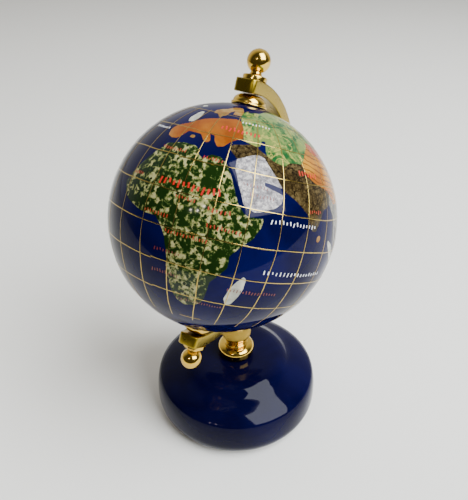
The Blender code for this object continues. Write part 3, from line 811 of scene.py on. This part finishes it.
def insidePoints(flat, spacing):
    # a staggered grid, kept clear of the outline
    low, high = flat.min(0), flat.max(0)
    rows = np.arange(low[1], high[1], spacing * stoneShape["facetRows"])
    grid = [(x + (row % 2) * spacing / 2.0, y) for row, y in enumerate(rows)
            for x in np.arange(low[0], high[0], spacing)]
    if not grid:
        return np.zeros((0, 2))
    grid = np.array(grid)
    start, end = flat, np.roll(flat, -1, axis=0)
    crossings = np.zeros(len(grid), int)
    for a, b in zip(start, end):
        spans = (a[1] > grid[:, 1]) != (b[1] > grid[:, 1])
        side = a[0] + (grid[:, 1] - a[1]) * (b[0] - a[0]) / (b[1] - a[1] + 1e-15)
        crossings += spans & (grid[:, 0] < side)
    grid = grid[crossings % 2 == 1]
    gaps = np.array([np.min(np.hypot(*(flat - point).T)) for point in grid])
    return grid[gaps > spacing * stoneShape["rimClearance"]] if len(grid) else grid


def stoneMesh(name, node):
    loop, whole = outlineLoop(node)
    if not whole:
        print("  more than one rim on", name)
    points = grown(wavered(rounded(resampled(loop))))
    middle = Vector(points.mean(0)).normalized()
    sideways = middle.orthogonal().normalized()
    basis = np.array((sideways, middle.cross(sideways), middle))
    local = points @ basis.T
    flat = local[:, :2] / local[:, 2:]
    inner = insidePoints(flat, stoneShape["facets"] / stoneShape["surface"])
    chart = [Vector(point) for point in np.vstack((flat, inner))]
    count = len(flat)
    edges = [(index, (index + 1) % count) for index in range(count)]
    corners, _, faces, *_ = delaunay_2d_cdt(chart, edges, [], 1, 1e-9)
    skin = onSphere(np.array([(corner.x, corner.y, 1.0) for corner in corners]) @ basis)
    form = bmesh.new()
    reach = stoneShape["surface"] * mm
    back = reach - stoneShape["depth"] * mm
    top = [form.verts.new(globeFrame @ Vector(direction * reach)) for direction in skin]
    under = [form.verts.new(globeFrame @ Vector(direction * back)) for direction in skin]
    below = dict(zip(top, under))
    for face in faces:
        form.faces.new([top[index] for index in face])
    for rim in [edge.link_loops[0] for edge in form.edges if len(edge.link_faces) == 1]:
        start, end = rim.vert, rim.link_loop_next.vert
        form.faces.new((end, start, below[start], below[end]))
    for face in faces:
        form.faces.new([under[index] for index in reversed(face)])
    bmesh.ops.recalc_face_normals(form, faces=form.faces)
    return meshFrom(form, name, 40.0)


def makeStones():
    faces = 0
    for kind, names in stoneKinds.items():
        for name in names:
            nodeName = f"stone_{name}"
            mesh = stoneMesh(name, frame["nodes"][nodeName])
            faces += len(mesh.polygons)
            addPiece(f"inlay_{name}", mesh, "globe", stoneMaterials[kind], [nodeName])
    print("stones inlaid:", faces, "faces")


makeStones()


# what lies on the globe's surface: a chart that a node tree wraps round the sphere
# On the chart, x is the longitude and y the latitude, both as lengths along the equator,
# and z is the height over the surface.

def wrapOnGlobe(tree, geometry, radius):
    position = addNode(tree, "GeometryNodeInputPosition").outputs[0]
    x, y, z = addNode(tree, "ShaderNodeSeparateXYZ", {0: position}).outputs
    longitude = addMath(tree, "DIVIDE", x, radius)
    latitude = addMath(tree, "DIVIDE", y, radius)
    reach = addMath(tree, "ADD", z, radius)
    level = addMath(tree, "MULTIPLY", addMath(tree, "COSINE", latitude), reach)
    wrapped = combined(tree, addMath(tree, "MULTIPLY", addMath(tree, "COSINE", longitude), level),
                       addMath(tree, "MULTIPLY", addMath(tree, "SINE", longitude), level),
                       addMath(tree, "MULTIPLY", addMath(tree, "SINE", latitude), reach))
    return addNode(tree, "GeometryNodeSetPosition", {"Geometry": geometry, "Position": wrapped}).outputs[0]


def chartWidening(tree, position, radius):
    # how much wider the chart is than the globe, away from the equator
    latitude = addMath(tree, "DIVIDE", component(tree, position, 1), radius)
    return addMath(tree, "DIVIDE", 1.0, addMath(tree, "COSINE", latitude))


def newTree(name, sizes):
    tree = bpy.data.node_groups.new(name, "GeometryNodeTree")
    tree.interface.new_socket("Geometry", in_out="INPUT", socket_type="NodeSocketGeometry")
    for size in sizes:
        kind = "NodeSocketInt" if isinstance(sizes[size], int) else "NodeSocketFloat"
        tree.interface.new_socket(size, in_out="INPUT", socket_type=kind)
    tree.interface.new_socket("Geometry", in_out="OUTPUT", socket_type="NodeSocketGeometry")
    return tree, addNode(tree, "NodeGroupInput").outputs, addNode(tree, "NodeGroupOutput")


def closeTree(tree, geometry, material, output):
    real = addNode(tree, "GeometryNodeRealizeInstances", {"Geometry": geometry})
    painted = addNode(tree, "GeometryNodeSetMaterial", {"Geometry": real.outputs[0], "Material": material})
    tree.links.new(painted.outputs[0], output.inputs[0])


def grow(name, guide, tree, sizes, material):
    # runs the node tree on the guide mesh, then keeps the result as a plain mesh in its place
    carrier = newObject(name + "_guide", guide)
    modifier = carrier.modifiers.new(name, "NODES")
    modifier.node_group = tree
    for item in tree.interface.items_tree:
        if item.in_out == "INPUT" and item.name in sizes:
            modifier[item.identifier] = sizes[item.name]
    bpy.context.view_layer.update()
    mesh = bpy.data.meshes.new_from_object(carrier.evaluated_get(bpy.context.evaluated_depsgraph_get()))
    bpy.data.objects.remove(carrier, do_unlink=True)
    mesh.transform(globeFrame)
    form = bmesh.new()
    form.from_mesh(mesh)
    bmesh.ops.remove_doubles(form, verts=form.verts, dist=0.0005 * mm)
    bmesh.ops.recalc_face_normals(form, faces=form.faces)
    form.to_mesh(mesh)
    form.free()
    mesh.shade_smooth()
    mesh.set_sharp_from_angle(angle=math.radians(50.0))
    addPiece(name, mesh, "globe", material)


def onChart(longitude, latitude):
    # degrees to metres on the chart
    reach = stoneShape["surface"] * mm
    across = (longitude - armLongitude + 180.0) % 360.0 - 180.0
    return (math.radians(across) * reach, math.radians(latitude) * reach, 0.0)


# the grid of wires

wireGrid = {
    "spacing": 15,                # degrees between wires, both ways
    "southEnd": -48.0,
    "northEnd": 61.0,
    "parallels": (-30, -15, 0, 15, 30, 45, 60),
    "seam": 0.01,                 # degrees by which a parallel stops short of the chart's side
    "shortWires": [(21.0, 35.0, -45.5)],
}
wireSizes = {
    "Globe Radius": stoneShape["surface"] * mm,
    "Wire Width": 0.28 * mm,
    "Wire Height": 0.05 * mm,
    "Step": 0.6 * mm,
    "Hand Wander": 0.55 * mm,
    "Wander Scale": 55.0,
}


def wireTree():
    tree, size, output = newTree("hand_laid_wires", wireSizes)
    curve = addNode(tree, "GeometryNodeMeshToCurve", {"Mesh": size["Geometry"]}).outputs[0]
    fine = addNode(tree, "GeometryNodeResampleCurve", {"Curve": curve, "Length": size["Step"]},
                   mode="LENGTH").outputs[0]
    # the wires wander a little, and a wire that runs north is widened to stay as wide on the sphere
    position = addNode(tree, "GeometryNodeInputPosition").outputs[0]
    wander = addNoise(tree, position, size["Wander Scale"], 1.0, output="Color")
    wander = addVector(tree, "SUBTRACT", wander, (0.5, 0.5, 0.5))
    wander = scaled(tree, addVector(tree, "MULTIPLY", wander, (2.0, 2.0, 0.0)), size["Hand Wander"])
    laid = addNode(tree, "GeometryNodeSetPosition", {"Geometry": fine, "Offset": wander}).outputs[0]
    tangent = addNode(tree, "GeometryNodeInputTangent").outputs[0]
    north = addMath(tree, "ABSOLUTE", component(tree, tangent, 1))
    extra = addMath(tree, "SUBTRACT", chartWidening(tree, position, size["Globe Radius"]), 1.0)
    width = addMath(tree, "ADD", addMath(tree, "MULTIPLY", north, extra), 1.0)
    levelled = addNode(tree, "GeometryNodeSetCurveNormal", {"Curve": laid}, mode="Z_UP").outputs[0]
    section = addNode(tree, "GeometryNodeCurvePrimitiveCircle", {"Resolution": 8, "Radius": 0.5}).outputs[0]
    across = combined(tree, size["Wire Width"], size["Wire Height"], 1.0)
    section = addNode(tree, "GeometryNodeTransform", {"Geometry": section, "Scale": across}).outputs[0]
    wires = addNode(tree, "GeometryNodeCurveToMesh", {
        "Curve": levelled, "Profile Curve": section, "Scale": width, "Fill Caps": True}).outputs[0]
    closeTree(tree, wrapOnGlobe(tree, wires, size["Globe Radius"]), wireBrass, output)
    return tree


def makeWires():
    grid = wireGrid
    lines = []
    for longitude in range(-180, 180, grid["spacing"]):
        lines.append([(longitude, grid["southEnd"]), (longitude, grid["northEnd"])])
    for latitude in grid["parallels"]:
        lines.append([(armLongitude - 180.0 + grid["seam"], latitude),
                      (armLongitude + 180.0 - grid["seam"], latitude)])
    for west, east, latitude in grid["shortWires"]:
        lines.append([(west, latitude), (east, latitude)])
    corners, edges = [], []
    for start, end in lines:
        edges.append((len(corners), len(corners) + 1))
        corners += [onChart(*start), onChart(*end)]
    guide = bpy.data.meshes.new("wire_lines")
    guide.from_pydata(corners, edges, [])
    grow("brass_graticule", guide, wireTree(), wireSizes, wireBrass)


makeWires()
print("wires laid")


# printed names: rows of short painted strokes, which stand for the words without spelling any

labelRows = {
    # each row is (west end, east end, latitude, height of the strokes in mm)
    "red": [(2.1, 32.0, 18.1, 2.4), (19.6, 47.2, 49.7, 1.9), (69.3, 84.0, 34.4, 1.8),
            (-112.0, -84.0, 41.0, 1.9), (-64.0, -44.0, -9.0, 2.0), (121.0, 145.0, -25.0, 1.9)],
    "brick": [(74.8, 84.1, 18.0, 1.3), (27.2, 37.9, 11.2, 1.5), (28.3, 43.6, 4.6, 1.3),
              (-0.7, 12.3, 4.2, 1.2), (-6.2, 9.3, 32.5, 1.2), (18.3, 29.1, 32.0, 1.2),
              (-14.7, -8.2, 17.8, 1.2), (12.5, 22.3, 13.0, 1.2), (11.6, 30.9, -1.6, 1.2),
              (-108.0, -98.0, 24.0, 1.2), (-70.0, -58.0, -36.0, 1.2)],
    "faded": [(7.4, 20.5, -10.3, 1.2), (6.6, 20.8, -20.4, 1.2), (19.4, 45.4, -32.3, 1.0),
              (43.1, 68.5, -21.3, 1.2), (39.6, 52.2, 24.5, 1.2), (43.3, 55.5, 20.8, 1.2)],
    "white": [(32.0, 56.1, 56.5, 1.0), (54.4, 80.4, 11.6, 1.3), (56.4, 93.9, -10.4, 1.4),
              (-28.7, -13.0, 42.2, 0.8), (-170.0, -134.0, 7.0, 1.4), (-122.0, -94.0, -34.0, 1.2)],
}
labelPaint = {
    # a paint's colour, and the gap from stroke to stroke in heights of a stroke
    "red": ((0.52, 0.005, 0.001), 0.66),
    "brick": ((0.34, 0.016, 0.003), 0.8),
    "faded": ((0.15, 0.012, 0.004), 0.8),
    "white": ((0.85, 0.86, 0.87), 1.0),
}
paintWear = {"scale": 1500.0, "stops": (0.38, 0.55), "fading": 0.72, "roughness": 0.35}
labelSizes = {
    "Globe Radius": stoneShape["surface"] * mm,
    "Stroke Weight": 0.24,    # of the stroke's height, as the next two are
    "Shortest": 0.5,
    "Rise": 0.16,
    "Paint Height": 0.035 * mm,
    "Lean": 0.22,
    "Seed": 7,
}


def makePaint(name, colour):
    material, tree, shader, where = newMaterial(f"{name}_paint", roughness=paintWear["roughness"])
    wear = addNoise(tree, where, paintWear["scale"], 3.0, 0.6)
    faded = tuple(channel * paintWear["fading"] for channel in colour)
    link(tree, addRamp(tree, wear, paintWear["stops"], (faded, colour)), shader, "Base Color")
    return material


def labelTree(paint):
    tree, size, output = newTree("painted_strokes", labelSizes)
    spots = addNode(tree, "GeometryNodeMeshToPoints", {"Mesh": size["Geometry"]})
    held = addNode(tree, "GeometryNodeCaptureAttribute", {"Geometry": spots.outputs[0]})
    held.capture_items.new("VECTOR", "Centre")
    tree.links.new(addNode(tree, "GeometryNodeInputPosition").outputs[0], held.inputs[1])
    centre = held.outputs[1]
    tall = addNode(tree, "GeometryNodeInputNamedAttribute", {"Name": "tall"}, data_type="FLOAT").outputs[0]
    # no two neighbours are alike in length, lean or height on the line
    length = addNode(tree, "FunctionNodeRandomValue", {
        2: size["Shortest"], 3: 1.0, "Seed": size["Seed"]}).outputs[1]
    swing = addNode(tree, "FunctionNodeRandomValue", {
        2: -1.0, 3: 1.0, "Seed": addMath(tree, "ADD", size["Seed"], 1.0)}).outputs[1]
    rise = addMath(tree, "MULTIPLY", addMath(tree, "MULTIPLY", swing, size["Rise"]), tall)
    placed = addNode(tree, "GeometryNodeSetPosition", {
        "Geometry": held.outputs[0], "Offset": combined(tree, y=rise)}).outputs[0]
    bar = addNode(tree, "GeometryNodeMeshCube", {"Size": (1.0, 1.0, 1.0), "Vertices Y": 4}).outputs[0]
    strokes = addNode(tree, "GeometryNodeInstanceOnPoints", {
        "Points": placed, "Instance": bar,
        "Rotation": combined(tree, z=addMath(tree, "MULTIPLY", swing, size["Lean"])),
        "Scale": combined(tree, addMath(tree, "MULTIPLY", tall, size["Stroke Weight"]),
                          addMath(tree, "MULTIPLY", tall, length),
                          addMath(tree, "MULTIPLY", size["Paint Height"], 2.0)),
    }).outputs[0]
    real = addNode(tree, "GeometryNodeRealizeInstances", {"Geometry": strokes}).outputs[0]
    # each stroke is widened about its own place, to be as wide on the globe as near the equator
    away = addVector(tree, "SUBTRACT", addNode(tree, "GeometryNodeInputPosition").outputs[0], centre)
    widening = combined(tree, chartWidening(tree, centre, size["Globe Radius"]), 1.0, 1.0)
    spread = addVector(tree, "ADD", centre, addVector(tree, "MULTIPLY", away, widening))
    drawn = addNode(tree, "GeometryNodeSetPosition", {"Geometry": real, "Position": spread}).outputs[0]
    closeTree(tree, wrapOnGlobe(tree, drawn, size["Globe Radius"]), paint, output)
    return tree


def makeLabels():
    for name, rows in labelRows.items():
        colour, spacing = labelPaint[name]
        paint = makePaint(name, colour)
        places, heights = [], []
        for west, east, latitude, tall in rows:
            length = math.radians(east - west) * math.cos(math.radians(latitude)) * stoneShape["surface"]
            count = max(3, round(length / (tall * spacing)))
            for index in range(count):
                places.append(onChart(west + (east - west) * (index + 0.5) / count, latitude))
                heights.append(tall * mm)
        guide = bpy.data.meshes.new(f"{name}_rows")
        guide.from_pydata(places, [], [])
        guide.attributes.new("tall", "FLOAT", "POINT").data.foreach_set("value", heights)
        grow(f"painted_{name}_strokes", guide, labelTree(paint), labelSizes, paint)


makeLabels()
print("names painted")


# camera

cameraPlace = {
    "eye": (-0.14166, -0.08681, 0.19276),
    "right": (0.5277, -0.8498, 0.0006),
    "forward": (0.7057, 0.4380, -0.5569),
    "focalPixels": 514.1,
    "longSidePixels": 500.0,
}


def makeCamera():
    data = bpy.data.cameras.new("camera")
    data.sensor_width = 36.0
    data.lens = data.sensor_width * cameraPlace["focalPixels"] / cameraPlace["longSidePixels"]
    data.clip_start = 0.01
    camera = newObject("camera", data)
    back = -Vector(cameraPlace["forward"]).normalized()
    up = back.cross(Vector(cameraPlace["right"])).normalized()
    turn = Matrix((up.cross(back), up, back)).transposed()
    camera.matrix_world = Matrix.Translation(cameraPlace["eye"]) @ turn.to_4x4()
    bpy.context.scene.camera = camera


makeCamera()


# floor and light

studio = {
    "floorColour": (0.80, 0.785, 0.735),
    "floorRadius": 2.2,
    "floorCentre": (1.81, 0.65, 0.0),
    "roomColour": (1.0, 0.985, 0.95),
    "roomLight": 0.075,
    "backdropTowards": (0.80, 0.60, 0.0),
    "backdropEdge": 0.6,
    "backdropLight": 0.9,
}
lights = {
    # places are directions from the globe, and facing is the way a light shines if not at the globe
    "window": {"places": [(0.039, -0.588, 0.808)], "distance": 1.11, "facing": (0.241, 0.759, -0.605),
               "across": (0.900, -0.408, -0.153), "size": (0.75, 1.14), "watts": 44.0,
               "colour": (0.92, 0.96, 1.0)},
    "ceiling_fill": {"places": [(0.2, 0.3, 1.0)], "distance": 1.6, "across": (1.0, 0.0, 0.0),
                     "size": (2.2, 2.2), "watts": 7.0, "colour": (1.0, 0.95, 0.88), "mirrored": False},
    "small_lamp": {"places": [(-0.828, 0.043, 0.559), (-0.816, -0.071, 0.574), (-0.752, -0.146, 0.643)],
                   "distance": 2.0, "across": (0.0, 1.0, 0.0), "size": (0.03, 0.03), "watts": 1.3,
                   "colour": (1.0, 0.90, 0.75)},
}


def makeFloor():
    form = bmesh.new()
    bmesh.ops.create_circle(form, cap_ends=True, segments=128, radius=studio["floorRadius"])
    form.transform(Matrix.Translation(studio["floorCentre"]))
    mesh = meshFrom(form, "floor")
    material, _, shader, _ = newMaterial("pale_floor", roughness=0.8)
    shader.inputs["Base Color"].default_value = (*studio["floorColour"], 1.0)
    mesh.materials.append(material)
    floor = newObject("floor", mesh)


def makeLight(name, light, towards):
    data = bpy.data.lights.new(name, "AREA")
    data.shape = "RECTANGLE"
    data.size, data.size_y = light["size"]
    data.energy = light["watts"]
    data.color = light["colour"]
    lamp = newObject(name, data)
    lamp.visible_glossy = light.get("mirrored", True)
    # a light with no direction of its own faces the globe
    back = (-Vector(light["facing"]) if "facing" in light else Vector(towards)).normalized()
    across = Vector(light["across"])
    right = (across - back * across.dot(back)).normalized()
    turn = Matrix((right, back.cross(right), back)).transposed()
    place = globeCentre + Vector(towards).normalized() * light["distance"]
    lamp.matrix_world = Matrix.Translation(place) @ turn.to_4x4()


def makeRoom():
    # a pale backdrop on the far side, and a dim room on the camera's side
    world = bpy.data.worlds.new("studio")
    bpy.context.scene.world = world
    world.use_nodes = True
    tree = world.node_tree
    background = tree.nodes["Background"]
    direction = addNode(tree, "ShaderNodeTexCoord").outputs["Generated"]
    facing = addVector(tree, "DOT_PRODUCT", direction, studio["backdropTowards"], "Value")
    shade = addNode(tree, "ShaderNodeMapRange", {
        "Value": facing, "From Min": 0.0, "From Max": studio["backdropEdge"],
        "To Min": studio["roomLight"], "To Max": studio["backdropLight"],
    })
    link(tree, shade.outputs[0], background, "Strength")
    background.inputs["Color"].default_value = (*studio["roomColour"], 1.0)


makeFloor()
for name, light in lights.items():
    for towards in light["places"]:
        makeLight(name, light, towards)
makeRoom()
print("studio lit")
